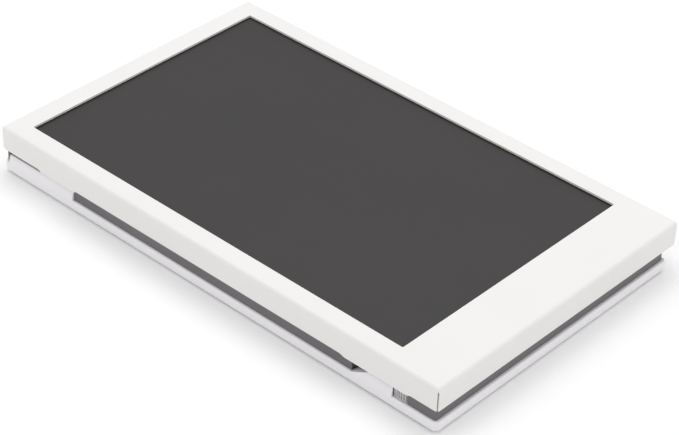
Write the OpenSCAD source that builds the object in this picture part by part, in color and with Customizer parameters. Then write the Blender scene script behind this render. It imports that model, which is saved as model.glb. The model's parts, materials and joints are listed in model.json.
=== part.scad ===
// Digital photo frame, lying on its back with the screen up.
// A folded sheet bezel sits over a flat display, a dark mid frame and a white back cover.
// The shadow gap between bezel and cover gives room for a jog wheel, a button and the sockets.
// Origin: centre of the footprint, on the surface the feet rest on.
// +X points to the wide chin, -Y is the jog wheel side, +Y is the socket side, +Z is the screen side.

/* [Bezel] */
// Length of the screen window
window_l = 217; // [180:0.5:261]
// Width of the screen window
window_w = 135.6; // [112:0.1:163]
// Bezel border at the plain short end
end_margin = 10.5; // [8.7:0.1:12.7]
// Bezel border at the wide short end, the chin
chin_margin = 26.8; // [25.4:0.1:32.2]
// Bezel border along both long sides
side_margin = 9.4; // [8.6:0.1:11.4]
// Thickness of the bezel sheet
sheet_t = 1; // [0.8:0.1:1.2]
// Outer radius of the fold between the bezel's face and its flanges
bend_r = 1.6; // [1.3:0.1:2]
// Height of the bezel's folded flanges
skirt_h = 11.5; // [11:0.1:13.8]
// How far the two long tabs hang below the wheel side flange
tab_drop = 0.8; // [0.6:0.1:1]
// Width of the open seam at each folded corner
corner_slit = 0.9; // [0.7:0.1:1.2]
// Radius of the flanges' lower corners
flange_corner_r = 2.6; // [2:0.1:3.2]
// Radius of the flanges' lower corners where the chin meets the wheel side
near_corner_r = 1.2; // [1:0.1:1.5]

/* [Back cover] */
// Height of the back cover's side
cover_side_h = 5.3; // [4.8:0.1:6.4]
// Open height between the cover's rim and the bezel's flanges
shadow_gap = 6.1; // [5.1:0.1:7.3]
// Thickness of the cover's rim wall
cover_wall = 2; // [1.7:0.1:2.4]
// Thickness of the cover's floor
cover_floor = 2; // [1.8:0.1:2.4]
// Radius of the cover's corners in plan
cover_corner_r = 2.5; // [2.4:0.1:3]
// Rounding of the cover's lower edge
cover_edge_r = 1.5; // [1.2:0.1:1.7]
// Rounding of the rim's upper edge
rim_edge_r = 0.8; // [0.6:0.1:1]
// How far the cover stands back under the bezel on the socket side
port_setback = 4.5; // [3.7:0.1:5.4]
// How far the lands lean in under the flange
land_depth = 2.8; // [2.3:0.1:3.4]
// Length of the white land near the plain end
end_land_l = 18.8; // [15.7:0.1:22.5]
// Length of the white land beside the jog wheel
wheel_land_l = 21.8; // [18.2:0.1:26.1]

/* [Mid frame] */
// Thickness of the mid frame's deck
deck_t = 2; // [1.9:0.1:2.4]
// Thickness of the mid frame's walls
core_wall = 2; // [1.7:0.1:2.4]
// Distance from the bezel's side to the mid frame's wall, wheel side
core_inset = 1.2; // [1.2:0.1:1.5]

/* [Display] */
// Thickness of the foam gasket behind the window
gasket_t = 0.5; // [0.4:0.1:0.6]
// Thickness of the cover glass
glass_t = 1.1; // [0.9:0.1:1.3]
// Thickness of the liquid crystal cell
cell_t = 1.2; // [1:0.1:1.4]
// Thickness of the light guide and its films
guide_t = 2.4; // [2:0.1:2.5]
// Thickness of the display's sheet metal tray
tray_t = 0.4; // [0.3:0.1:0.5]
// Thickness of the tape that bonds the tray to the mid frame
tape_t = 0.2; // [0.1:0.1:0.3]

/* [Stand leg] */
// Length from the hinge axis to the tip of the leg
leg_l = 96; // [80:1:100]
// Width of the leg
leg_w = 44; // [36.5:0.1:53]
// Distance from the chin end of the frame to the hinge axis
leg_from_chin = 108; // [107:1:129]
// Radius of the hinge barrel, which is also the thickness of the leg's plate
barrel_r = 3.2; // [2.8:0.1:3.8]
// Radius of the hinge pin
pin_r = 1.25; // [1:0.05:1.5]
// Length of the stop heel beyond the hinge axis
heel_l = 7; // [5.8:0.1:8.4]
// Angle of the fully opened leg
leg_open = 35; // [29:1:42]
// Length of the rubber tip
pad_l = 6; // [5:0.5:8]

/* [Jog wheel] */
// Radius of the jog wheel
wheel_r = 6.5; // [5.4:0.1:7.8]
// Open height between the rim and the jog wheel
wheel_gap_under = 0.8; // [0.6:0.1:1]
// Open height between the jog wheel and the flange's tab
wheel_gap_over = 0.3; // [0.3:0.1:0.5]
// Distance from the chin end of the frame to the wheel's axis
wheel_from_chin = 20; // [18:0.1:24]
// Number of grooves round the wheel
wheel_grooves = 32; // [26:1:38]
// Radius of the wheel's steel shaft
shaft_r = 1.5; // [1.25:0.05:1.8]

/* [Controls and sockets] */
// Travel of the power button
button_travel = 0.6; // [0.5:0.1:0.7]
// Length of the power button's cap
button_l = 8; // [6.7:0.1:9.6]
// Thickness of the circuit boards
board_t = 1.6; // [1.3:0.1:1.9]
// Radius of the hanger plates' entry hole
hanger_entry_r = 4.25; // [3.75:0.05:5]
// Radius of the hanger plates' narrow slot
hanger_slot_r = 2.2; // [1.8:0.1:2.4]
// Distance between the two hanger plates
hanger_pitch = 80; // [66:1:96]
// Thickness of the hanger plates
hanger_t = 1.5; // [1.2:0.1:1.8]

/* [Feet] */
// How far the rubber feet stand proud of the cover
foot_proud = 0.5; // [0.4:0.1:0.6]
// Radius of the rubber feet
foot_r = 5; // [4.2:0.1:6]

/* [Hidden] */
$fn = 48;

// Clearances
slide_gap = 0.2;      // between a moulding and the part it slides into
run_gap = 0.05;       // radial, round a shaft that turns
seat_gap = 0.05;      // between a screw's shank and the hole it is driven into
over = 1;             // how far a cutter runs past the face it cuts

// Overall size and the four sides of the bezel
frame_l = end_margin + window_l + chin_margin;
frame_w = window_w + 2 * side_margin;
x_end = -frame_l / 2;
x_chin = frame_l / 2;
y_wheel = -frame_w / 2;
y_port = frame_w / 2;
window_lo = [x_end + end_margin, -window_w / 2];
window_hi = [x_chin - chin_margin, window_w / 2];

// Levels, from the resting surface up
z_cover = foot_proud;
z_floor = z_cover + cover_floor;
z_rim = z_cover + cover_side_h;
z_skirt = z_rim + shadow_gap;
z_top = z_skirt + skirt_h;
z_gasket = z_top - sheet_t - gasket_t;
z_glass = z_gasket - glass_t;
z_cell = z_glass - cell_t;
z_guide = z_cell - guide_t;
z_tray = z_guide - tray_t;
z_deck_top = z_tray - tape_t;
z_deck = z_deck_top - deck_t;

// Display outlines, grown from the window
glass_lap = 5;
cell_lap = 3.2;
tray_lap_side = 6.2;
tray_lap_end = 5.2;
tray_lap_chin = 8.2;
gasket_reveal = 0.4;
tape_w = 6;
led_w = 3;
led_gap = 0.2;
tray_lo = window_lo - [tray_lap_end, tray_lap_side];
tray_hi = window_hi + [tray_lap_chin, tray_lap_side];

// Back cover and mid frame outlines
cover_inset = 0.2;
cover_lo = [x_end + cover_inset, y_wheel + cover_inset];
cover_hi = [x_chin - cover_inset, y_port - port_setback];
cavity_lo = cover_lo + [cover_wall, cover_wall];
cavity_hi = cover_hi - [cover_wall, cover_wall];
end_inset = core_inset + 0.4;
core_lo = [x_end + end_inset, y_wheel + core_inset];
core_hi = [x_chin - end_inset, cover_hi[1] - cover_wall];
core_in_lo = core_lo + [core_wall, core_wall];
core_in_hi = core_hi - [core_wall, core_wall];
core_corner_r = 0.8;
deck_lo = [x_end, y_wheel] + [sheet_t + slide_gap, sheet_t + slide_gap];
deck_hi = [x_chin, y_port] - [sheet_t + slide_gap, sheet_t + slide_gap];
lip_drop = 2;

// Lands and tabs on the wheel side, measured from the plain end
shoulder_from_end = 4;
end_land_from_end = 26.5;
shoulder_rise = 0.62;        // share of the shadow gap
end_land_ramp = 3.7;
wheel_land_ramp = 11;
land_wall = 1;
land_h = shadow_gap - tab_drop - slide_gap;
wheel_land_gap = 3.6;        // from the wheel's axis to the land beside it
land_y = cover_lo[1] + land_depth + land_wall;
end_land = [x_end + shoulder_from_end, x_end + end_land_from_end + end_land_l];
tab_ramp = 3.7;
chin_tab_l = 31.2;

// Stand leg pocket
hinge_x = x_chin - leg_from_chin;
leg_rise = 0.3;              // the leg lies this far above the cover's underside
z_hinge = z_cover + leg_rise + barrel_r;
leg_side_gap = 0.5;
stop_gap = 0.15;
heel_reach = sqrt(heel_l * heel_l + barrel_r * barrel_r);
pocket_lo = [hinge_x - heel_reach - leg_side_gap, -leg_w / 2 - leg_side_gap];
pocket_hi = [hinge_x + leg_l + leg_side_gap, leg_w / 2 + leg_side_gap];
z_pocket = z_hinge + heel_l * sin(leg_open) + stop_gap;
pocket_wall = 1.6;
ear_t = 3;
ear_l = 2 * barrel_r + 2;
grip_l = 18;
grip_w = 9;
grip_from_tip = 8;
leg_rib_h = 2.6;
leg_rib_w = 1.6;

// Jog wheel
wheel_x = x_chin - wheel_from_chin;
wheel_inset = 0.5;
wheel_y = y_wheel + wheel_inset + wheel_r;
z_wheel = z_rim + wheel_gap_under;
wheel_h = z_skirt - tab_drop - wheel_gap_over - z_wheel;
wheel_gap = 0.5;
wheel_land = [wheel_x - wheel_land_gap - wheel_land_l, wheel_x - wheel_land_gap];
groove_r = 0.3;
wheel_pad_h = 0.5;
wheel_pad_r = 2.4;
wheel_board_t = 1.2;
z_wheel_board = z_floor + wheel_pad_h;
z_encoder = z_wheel_board + wheel_board_t;
encoder_h = z_wheel - 0.2 - z_encoder;
encoder_w = 8;
wheel_board_lo = [wheel_x - 10, core_in_lo[1] + slide_gap];
wheel_board_hi = [wheel_x + 11, wheel_y + 17];

// Main board under the deck, on the socket side
port_rise = 5;               // from the rim to the board's underside, where the sockets hang
z_board = z_rim + port_rise;
standoff_h = z_deck - z_board - board_t;
board_lo = [x_end + 21, 12];
board_hi = [x_end + 113, core_in_hi[1] - 1.7];
board_screw_inset = 4;
usb_w = 9;
usb_h = 3.3;
usb_d = 7.4;
usb_x = board_hi[0] - 20;
card_w = 26;
card_h = 2.8;
card_d = 24;
card_x = board_hi[0] - 56;
button_x = board_lo[0] + 8;
button_h = 2.4;
button_proud = 1;
button_flange = 0.8;
button_flange_lap = 0.2;
z_port = z_board - 1.6;
switch_w = 6;
switch_d = 3;
switch_h = 3;
plunger_r = 0.8;
mouth_gap = 0.3;             // sockets stop this far inside the wall's outer face

// Parts under the main board
shield_at = [board_lo[0] + 40, board_lo[1] + 16];
shield_size = [30, 22, 2.4];
shield_wall = 0.3;
wifi_at = [board_lo[0] + 13, board_lo[1] + 15];
wifi_size = [12, 14, 2.2];
antenna_y = board_lo[1] + 15;
antenna_t = 0.3;
switch_y1 = core_in_hi[1] - 2.8;
cell_r = 6.25;
cell_h = 2;
cell_at = [board_lo[0] + 14, board_lo[1] + 37];

// Screws: shank radius, head radius, head height
cover_screw = [1.3, 2.6, 1.4];
board_screw = [0.9, 1.9, 1.2];
bezel_screw = [1.5, 2.7, 1.6];
cover_boss_r = 3.4;
cover_pad_r = 4.2;
cover_pad_h = 1.5;
head_recess = 0.4;
boss_blind = 1;
cover_screw_at = [
    [x_end + 12, y_wheel + 12], [0, y_wheel + 12], [x_chin - 40, y_wheel + 12],
    [x_end + 12, cover_hi[1] - 13.5], [0, cover_hi[1] - 13.5], [x_chin - 12, cover_hi[1] - 13.5]
];
board_screw_at = [
    for (x = [board_lo[0] + board_screw_inset, board_hi[0] - board_screw_inset])
        for (y = [board_lo[1] + board_screw_inset, board_hi[1] - board_screw_inset - 8]) [x, y]
];
wheel_screw_at = [[wheel_x - 7, wheel_y + 13], [wheel_x + 8, wheel_y + 13]];
stud_r = 2.7;
stud_at = [for (y = [-45, 45]) [x_chin - 9, y]];

// Feet, hangers, speakers, vents
foot_t = 1.2;
foot_at = [
    for (x = [x_end + 26, x_chin - 22]) for (y = [y_wheel + 13, cover_hi[1] - 13.5]) [x, y]
];
hanger_x = x_end + 26;
hanger_slot_l = 9;
hanger_plate = [24, 30];
hanger_screw_pitch = 22;
hanger_at = [for (y = [-hanger_pitch / 2, hanger_pitch / 2]) [hanger_x, y]];
speaker_size = [32, 16, 5];
speaker_x = hinge_x + 55;
speaker_y = leg_w / 2 + 24;
speaker_gasket_t = 0.5;
grille_slots = 5;
grille_pitch = 2.6;
vent_slots = 7;
vent_pitch = 6;
vent_l = 16;
vent_w = 2;
vent_from_end = 57;
vent_y = y_wheel + 35;

// Leads and flex
lead_w = 1.4;
lead_h = 0.8;
z_lead = z_floor + 0.3;
connector_x = board_hi[0] - 8;
wheel_lead_x = connector_x - 5;
wheel_lead_in = 6.7;         // between the cover screws' pads and the speaker
flex_w = 30;
flex_t = 0.2;
flex_x = x_end + 67;
flex_plug_h = 1.3;
flex_plug_y = board_hi[1] - 8;
z_flex = z_board + board_t + flex_plug_h;
flex_y = tray_hi[1] + 0.3;

// A box between two corners
module box(lo, hi) {
    translate(lo) cube(hi - lo);
}

// A plate between two plan corners and two levels, its plan corners rounded by r
module slab(lo, hi, z0, z1, r = 0) {
    if (r == 0)
        box([lo[0], lo[1], z0], [hi[0], hi[1], z1]);
    else {
        box([lo[0] + r, lo[1], z0], [hi[0] - r, hi[1], z1]);
        box([lo[0], lo[1] + r, z0], [hi[0], hi[1] - r, z1]);
        for (x = [lo[0] + r, hi[0] - r])
            for (y = [lo[1] + r, hi[1] - r])
                rod([x, y, z0], z1 - z0, r);
    }
}

// An upright cylinder standing on a point
module rod(at, h, r) {
    translate(at) cylinder(h = h, r = r);
}

// A cylinder along +Y from a point
module rod_y(at, h, r) {
    translate(at) rotate([-90, 0, 0]) cylinder(h = h, r = r);
}

// A frame-shaped wall between two outlines
module ring_wall(lo, hi, inner_lo, inner_hi, z0, z1, r = 0) {
    difference() {
        slab(lo, hi, z0, z1, r);
        slab(inner_lo, inner_hi, z0 - over, z1 + over);
    }
}

// A pan head screw pointing up, its head's top face at z
module screw_up(at, z, size, shank_l) {
    rod([at[0], at[1], z], size[2], size[1]);
    rod([at[0], at[1], z + size[2]], shank_l, size[0]);
}

// A screw pointing down, its head resting on z
module screw_down(at, z, size, shank_l) {
    rod([at[0], at[1], z], size[2], size[1]);
    rod([at[0], at[1], z - shank_l], shank_l, size[0]);
}

// A flat lead that runs along the axes from point to point
module lead(points) {
    half = [lead_w / 2, lead_w / 2, lead_h / 2];
    for (i = [1 : len(points) - 1]) {
        a = points[i - 1];
        b = points[i];
        lo = [min(a[0], b[0]), min(a[1], b[1]), min(a[2], b[2])];
        hi = [max(a[0], b[0]), max(a[1], b[1]), max(a[2], b[2])];
        box(lo - half, hi + half);
    }
}

// One folded side of the bezel, along X, its outer face at y = 0
module folded_side(side_l) {
    intersection() {
        translate([-side_l / 2, 0, 0])
            rotate([90, 0, 90])
                linear_extrude(side_l) {
                    translate([0, z_skirt]) square([sheet_t, skirt_h - bend_r]);
                    difference() {
                        translate([bend_r, z_top - bend_r]) circle(bend_r);
                        translate([bend_r, z_top - bend_r]) circle(bend_r - sheet_t);
                        translate([bend_r, z_top - 3 * bend_r]) square(3 * bend_r);
                        translate([-over, z_top - 3 * bend_r]) square([3 * bend_r, 2 * bend_r]);
                    }
                }
        translate([0, 0, z_skirt - over])
            linear_extrude(skirt_h + 2 * over)
                polygon([
                    [-side_l / 2, 0], [side_l / 2, 0],
                    [side_l / 2 - bend_r, bend_r], [-side_l / 2 + bend_r, bend_r]
                ]);
    }
}

// The space outside a rounded lower corner of a flange, at x = 0, z = 0, cut along Y
module flange_corner_cutter(r) {
    rotate([90, 0, 0])
        linear_extrude(4 * sheet_t, center = true)
            difference() {
                translate([-over, -over]) square(r + over);
                translate([r, r]) circle(r);
            }
}

module bezel() color("whitesmoke") {
    difference() {
        union() {
            slab([x_end, y_wheel] + [bend_r, bend_r], [x_chin, y_port] - [bend_r, bend_r],
                z_top - sheet_t, z_top);
            for (turn = [0, 180]) {
                rotate(turn) translate([0, y_wheel, 0]) folded_side(frame_l);
                rotate(turn + 90) translate([0, x_end, 0]) folded_side(frame_w);
            }
            bezel_tab(end_land_from_end + x_end, end_land_from_end + end_land_l + x_end);
            bezel_tab(wheel_x + 3 - chin_tab_l, wheel_x + 3);
        }
        slab(window_lo, window_hi, z_top - 2 * sheet_t, z_top + over, 0.6);
        for (x = [x_end, x_chin])
            for (y = [y_wheel, y_port])
                translate([x, y, z_skirt - over])
                    rotate(45)
                        translate([0, 0, (skirt_h - bend_r) / 2])
                            cube([corner_slit, corner_slit, skirt_h - bend_r] + [
                                x * y > 0 ? 4 * sheet_t : 0, x * y > 0 ? 0 : 4 * sheet_t, 0
                            ], center = true);
        for (mx = [0, 1])
            for (my = [0, 1])
                mirror([mx, 0, 0])
                    mirror([0, my, 0])
                        translate([x_end, y_wheel, z_skirt]) {
                            r = mx == 1 && my == 0 ? near_corner_r : flange_corner_r;
                            flange_corner_cutter(r);
                            mirror([1, -1, 0]) flange_corner_cutter(r);
                        }
    }
}

// A shallow tab under the wheel side flange, with sloping ends
module bezel_tab(x0, x1) {
    translate([0, y_wheel + sheet_t, z_skirt])
        rotate([90, 0, 0])
            linear_extrude(sheet_t)
                polygon([
                    [x0 - tab_ramp, over], [x0 - tab_ramp, 0], [x0, -tab_drop],
                    [x1, -tab_drop], [x1 + tab_ramp, 0], [x1 + tab_ramp, over]
                ]);
}

module window_gasket() color("black") {
    difference() {
        slab(window_lo - [glass_lap, glass_lap], window_hi + [glass_lap, glass_lap],
            z_gasket, z_gasket + gasket_t);
        slab(window_lo - [gasket_reveal, gasket_reveal], window_hi + [gasket_reveal, gasket_reveal],
            z_gasket - over, z_gasket + gasket_t + over);
    }
}

module cover_glass() color([0.3, 0.29, 0.29]) {
    slab(window_lo - [glass_lap, glass_lap], window_hi + [glass_lap, glass_lap],
        z_glass, z_gasket, 1);
}

module lcd_cell() color([0.12, 0.12, 0.13]) {
    slab(window_lo - [cell_lap, cell_lap], window_hi + [cell_lap, cell_lap], z_cell, z_glass);
}

module light_guide() color("aliceblue") {
    slab(window_lo - [cell_lap, cell_lap], window_hi + [cell_lap, cell_lap], z_guide, z_cell);
}

// White moulding that centres the light guide in its tray
module panel_frame() color("white") {
    difference() {
        slab(tray_lo + [tray_t, tray_t], tray_hi - [tray_t, tray_t], z_guide, z_glass);
        slab(window_lo - [cell_lap, cell_lap], window_hi + [cell_lap + led_w + led_gap, cell_lap],
            z_guide - over, z_cell);
        slab(window_lo - [cell_lap, cell_lap], window_hi + [cell_lap, cell_lap],
            z_guide - over, z_glass + over);
    }
}

// Strip of light-emitting diodes along the guide's chin end
module led_bar() color("khaki") {
    strip_x = window_hi[0] + cell_lap + led_gap;
    led_count = 18;
    led_pitch = window_w / led_count;
    slab([strip_x + led_w - 0.8, -window_w / 2], [strip_x + led_w - 0.1, window_w / 2],
        z_guide + 0.1, z_cell - 0.1);
    for (i = [0 : led_count - 1])
        translate([strip_x, -window_w / 2 + (i + 0.5) * led_pitch - led_pitch / 4, z_guide + 0.5])
            cube([led_w - 0.8, led_pitch / 2, guide_t - 1]);
}

module panel_tray() color("silver") {
    slab(tray_lo, tray_hi, z_tray, z_guide);
    ring_wall(tray_lo, tray_hi, tray_lo + [tray_t, tray_t], tray_hi - [tray_t, tray_t],
        z_guide, z_glass);
}

module display_tape() color("dimgray") {
    for (y = [tray_lo[1] + 4, tray_hi[1] - 4 - tape_w])
        slab([tray_lo[0] + 10, y], [tray_hi[0] - 10, y + tape_w], z_deck_top, z_tray);
}

module mid_frame() color([0.22, 0.21, 0.22]) {
    difference() {
        union() {
            slab(deck_lo, deck_hi, z_deck, z_deck_top, 1);
            ring_wall(core_lo, core_hi, core_in_lo, core_in_hi, z_rim, z_deck, core_corner_r);
            ring_wall(cavity_lo + [slide_gap, slide_gap], cavity_hi - [slide_gap, slide_gap],
                core_in_lo, core_in_hi, z_rim - lip_drop, z_rim + over, core_corner_r);
            for (p = cover_screw_at)
                rod([p[0], p[1], z_floor + cover_pad_h], z_deck - z_floor - cover_pad_h, cover_boss_r);
            for (p = board_screw_at)
                rod([p[0], p[1], z_board + board_t], standoff_h, 2.8);
        }
        for (p = cover_screw_at)
            rod([p[0], p[1], z_floor], z_deck - z_floor - boss_blind, cover_screw[0] + seat_gap);
        for (p = board_screw_at)
            rod([p[0], p[1], z_board], z_deck_top - z_board - 0.8, board_screw[0] + seat_gap);
        for (p = stud_at)
            rod([p[0], p[1], z_deck - over], deck_t + 2 * over, bezel_screw[0] + slide_gap);
        rod([wheel_x, wheel_y, z_deck - over], over + 1.2, shaft_r + run_gap);
        rod([wheel_x, wheel_y, z_rim - lip_drop - over],
            z_wheel + wheel_h + wheel_gap - z_rim + lip_drop + over, wheel_r + wheel_gap);
        for (x = [end_land, wheel_land])
            box([x[0] - slide_gap, y_wheel - over, z_rim - lip_drop - over],
                [x[1] + slide_gap, land_y + slide_gap, z_rim + land_h + slide_gap]);
        port_hole(usb_x, usb_w / 2 + mouth_gap, usb_h + 2 * mouth_gap, z_board - usb_h - mouth_gap);
        port_hole(card_x, card_w / 2 + mouth_gap, card_h + 2 * mouth_gap,
            z_board - card_h - mouth_gap);
        port_hole(button_x, button_l / 2 + slide_gap, button_h + 2 * slide_gap,
            z_port - button_h / 2 - slide_gap);
        box([flex_x - flex_w / 2 - 0.5, core_in_hi[1] - over, z_flex - 0.6],
            [flex_x + flex_w / 2 + 0.5, core_hi[1] + over, z_deck]);
        box([flex_x - flex_w / 2 - 0.5, flex_y - 0.4, z_deck - over],
            [flex_x + flex_w / 2 + 0.5, y_port, z_deck_top + over]);
    }
}

// An opening in the socket side wall
module port_hole(x, half_w, h, z) {
    box([x - half_w, core_in_hi[1] - over, z], [x + half_w, core_hi[1] + over, z + h]);
}

// Section through the cover's rim wall: x runs outward from the centre of a plan corner
module rim_section() {
    r = cover_corner_r;
    translate([r - cover_wall, 0]) square([cover_wall - cover_edge_r, cover_side_h]);
    translate([r - cover_edge_r, cover_edge_r])
        square([cover_edge_r, cover_side_h - cover_edge_r - rim_edge_r]);
    translate([r - cover_edge_r, cover_side_h - rim_edge_r])
        square([cover_edge_r - rim_edge_r, rim_edge_r]);
    intersection() {
        translate([r - cover_edge_r, cover_edge_r]) circle(cover_edge_r);
        translate([r - cover_edge_r, 0]) square(cover_edge_r);
    }
    intersection() {
        translate([r - rim_edge_r, cover_side_h - rim_edge_r]) circle(rim_edge_r);
        translate([r - rim_edge_r, cover_side_h - rim_edge_r]) square(rim_edge_r);
    }
}

// The rim wall, swept round the cover's outline
module cover_rim() {
    r = cover_corner_r;
    size = cover_hi - cover_lo;
    translate([cover_lo[0] + size[0] / 2, cover_lo[1] + size[1] / 2, z_cover])
        for (turn = [0, 180])
            rotate(turn) {
                rim_run(size[0] / 2 - r, size[1] / 2 - r);
                rotate(90) rim_run(size[1] / 2 - r, size[0] / 2 - r);
            }
}

// One straight wall of the rim on the +X side and the corner at its end
module rim_run(half_x, half_y) {
    translate([half_x, half_y, 0]) rotate([90, 0, 0]) linear_extrude(2 * half_y) rim_section();
    translate([half_x, half_y, 0]) rotate_extrude(angle = 90) rim_section();
}

// Section through a land: x runs inward from the cover's side, y up from the rim
module land_section() {
    steps = 10;
    start = 0.3;
    inner = land_depth + land_wall;
    polygon(concat(
        [[0, -rim_edge_r - 0.2]],
        [for (i = [0 : steps]) [
            land_depth * (1 - cos(90 * i / steps)), start + (land_h - start) * sin(90 * i / steps)
        ]],
        [[inner, land_h], [inner, 0], [cover_wall, -1], [cover_wall, -rim_edge_r - 0.2]]
    ));
}

// A land along X, leaning in under the flange
module land_bar(x0, x1) {
    translate([x0, cover_lo[1], z_rim])
        rotate([90, 0, 90])
            linear_extrude(x1 - x0) land_section();
}

// White lands that rise from the rim towards the flange, through gaps in the mid frame's wall
module lands() {
    base = -rim_edge_r - 0.2;
    shoulder_h = shoulder_rise * shadow_gap;
    step_x = x_end + end_land_from_end;
    difference() {
        intersection() {
            union() {
                land_bar(end_land[0], end_land[1]);
                land_bar(wheel_land[0], wheel_land[1]);
            }
            translate([0, land_y + over, z_rim])
                rotate([90, 0, 0])
                    linear_extrude(land_y + 2 * over - y_wheel) {
                        polygon([
                            [end_land[0], base], [end_land[0], shoulder_h],
                            [step_x - end_land_ramp, shoulder_h], [step_x, land_h],
                            [end_land[1], land_h], [end_land[1], base]
                        ]);
                        polygon([
                            [wheel_land[0], base], [wheel_land[0], 0],
                            [wheel_land[0] + wheel_land_ramp, land_h],
                            [wheel_land[1], land_h], [wheel_land[1], base]
                        ]);
                    }
        }
        rod([wheel_x, wheel_y, z_rim], shadow_gap, wheel_r + wheel_gap);
        encoder_half = encoder_w / 2 + slide_gap;
        box([wheel_x - encoder_half, wheel_y - encoder_half, z_encoder],
            [wheel_x + encoder_half, wheel_y + encoder_half, z_encoder + encoder_h + slide_gap]);
    }
}

module back_cover() color("ghostwhite") {
    difference() {
        union() {
            cover_rim();
            slab(cavity_lo, cavity_hi, z_cover, z_floor, cover_corner_r - cover_wall);
            lands();
            slab(pocket_lo - [pocket_wall, pocket_wall], pocket_hi + [pocket_wall, pocket_wall],
                z_cover, z_pocket + pocket_wall);
            slab([hinge_x - ear_l / 2, pocket_lo[1] - ear_t], [hinge_x + ear_l / 2, pocket_hi[1] + ear_t],
                z_cover, z_pocket + pocket_wall);
            grip_wells(pocket_wall, z_cover, z_pocket + pocket_wall);
            for (p = cover_screw_at)
                rod([p[0], p[1], z_cover], cover_floor + cover_pad_h, cover_pad_r);
            for (p = wheel_screw_at)
                rod([p[0], p[1], z_cover], cover_floor + wheel_pad_h, wheel_pad_r);
        }
        slab(pocket_lo, pocket_hi, z_cover - over, z_pocket, 0.8);
        grip_wells(0, z_cover - over, z_pocket);
        rod_y([hinge_x, pocket_lo[1] - ear_t - over, z_hinge],
            pocket_hi[1] - pocket_lo[1] + 2 * (ear_t + over), pin_r);
        for (p = cover_screw_at) {
            rod([p[0], p[1], z_cover - over], over + head_recess + cover_screw[2],
                cover_screw[1] + slide_gap);
            rod([p[0], p[1], z_cover], cover_floor + cover_pad_h + over, cover_screw[0] + slide_gap);
        }
        for (p = wheel_screw_at)
            rod([p[0], p[1], z_cover + 0.8], cover_floor + wheel_pad_h, board_screw[0] + seat_gap);
        for (p = foot_at)
            rod([p[0], p[1], z_cover - over], over + foot_t - foot_proud, foot_r + slide_gap);
        for (p = hanger_at) {
            keyhole(p, hanger_entry_r + 1, hanger_slot_r + 1, z_cover - over, z_floor + over);
            for (dy = [-0.5, 0.5])
                rod([p[0], p[1] + dy * hanger_screw_pitch, z_cover + 0.8], cover_floor,
                    board_screw[0] + seat_gap);
        }
        for (side = [-1, 1])
            for (i = [0 : grille_slots - 1])
                slot_x([speaker_x, side * speaker_y + (i - (grille_slots - 1) / 2) * grille_pitch],
                    speaker_size[0] - 12, 0.7);
        for (i = [0 : vent_slots - 1])
            translate([x_end + vent_from_end + i * vent_pitch, vent_y, 0])
                rotate(90) slot_x([0, 0], vent_l, vent_w / 2);
    }
}

// Wells on both sides of the leg's tip, where finger and thumb take hold of it
module grip_wells(grow, z0, z1) {
    x1 = hinge_x + leg_l - grip_from_tip;
    slab([x1 - grip_l - grow, pocket_lo[1] - grip_w - grow], [x1 + grow, pocket_hi[1] + grip_w + grow],
        z0, z1, 3);
}

// A round-ended slot through the cover's floor
module slot_x(at, l, r) {
    for (dx = [-l / 2 + r, l / 2 - r])
        rod([at[0] + dx, at[1], z_cover - over], cover_floor + 2 * over, r);
    box([at[0] - l / 2 + r, at[1] - r, z_cover - over],
        [at[0] + l / 2 - r, at[1] + r, z_floor + over]);
}

// A keyhole: a round entry, with a narrow slot that runs towards the plain end
module keyhole(at, entry_r, slot_r, z0, z1) {
    rod([at[0], at[1], z0], z1 - z0, entry_r);
    rod([at[0] - hanger_slot_l, at[1], z0], z1 - z0, slot_r);
    box([at[0] - hanger_slot_l, at[1] - slot_r, z0], [at[0], at[1] + slot_r, z1]);
}

module main_board() color("darkgreen") {
    difference() {
        slab(board_lo, board_hi, z_board, z_board + board_t, 1.5);
        for (p = board_screw_at)
            rod([p[0], p[1], z_board - over], board_t + 2 * over, board_screw[0] + slide_gap);
    }
}

// Parts under the board hang from it: footprint centre, size
module under_board(at, size, r = 0) {
    slab([at[0] - size[0] / 2, at[1] - size[1] / 2], [at[0] + size[0] / 2, at[1] + size[1] / 2],
        z_board - size[2], z_board, r);
}

module shield_can() color("silver") {
    difference() {
        under_board(shield_at, shield_size, 1);
        under_board(shield_at, shield_size - [2 * shield_wall, 2 * shield_wall, shield_wall]);
    }
}

module board_chips() color([0.1, 0.1, 0.1]) {
    under_board(shield_at - [5, 0], [12, 12, 1.2]);
    under_board(shield_at + [9, 0], [8, 12, 1]);
    under_board([board_lo[0] + 68, board_lo[1] + 12], [9, 6, 1.1]);
    under_board([board_lo[0] + 68, board_lo[1] + 36], [5, 5, 2]);
}

module wifi_module() color("gainsboro") {
    under_board(wifi_at, wifi_size, 0.5);
}

module wifi_antenna() color("goldenrod") {
    box([core_in_lo[0], antenna_y - 15, z_rim + 1], [core_in_lo[0] + antenna_t, antenna_y + 15, z_rim + 7]);
}

module antenna_lead() color("black") {
    z = z_board - wifi_size[2] - lead_h / 2;
    lead([
        [core_in_lo[0] + antenna_t + lead_w / 2, antenna_y, z],
        [wifi_at[0], antenna_y, z]
    ]);
}

module card_socket() color("silver") {
    y1 = core_hi[1] - mouth_gap;
    difference() {
        box([card_x - card_w / 2, y1 - card_d, z_board - card_h], [card_x + card_w / 2, y1, z_board]);
        box([card_x - card_w / 2 + 0.8, y1 - card_d + 1.5, z_board - card_h + 0.3],
            [card_x + card_w / 2 - 0.8, y1 + over, z_board - 0.3]);
    }
}

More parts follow.
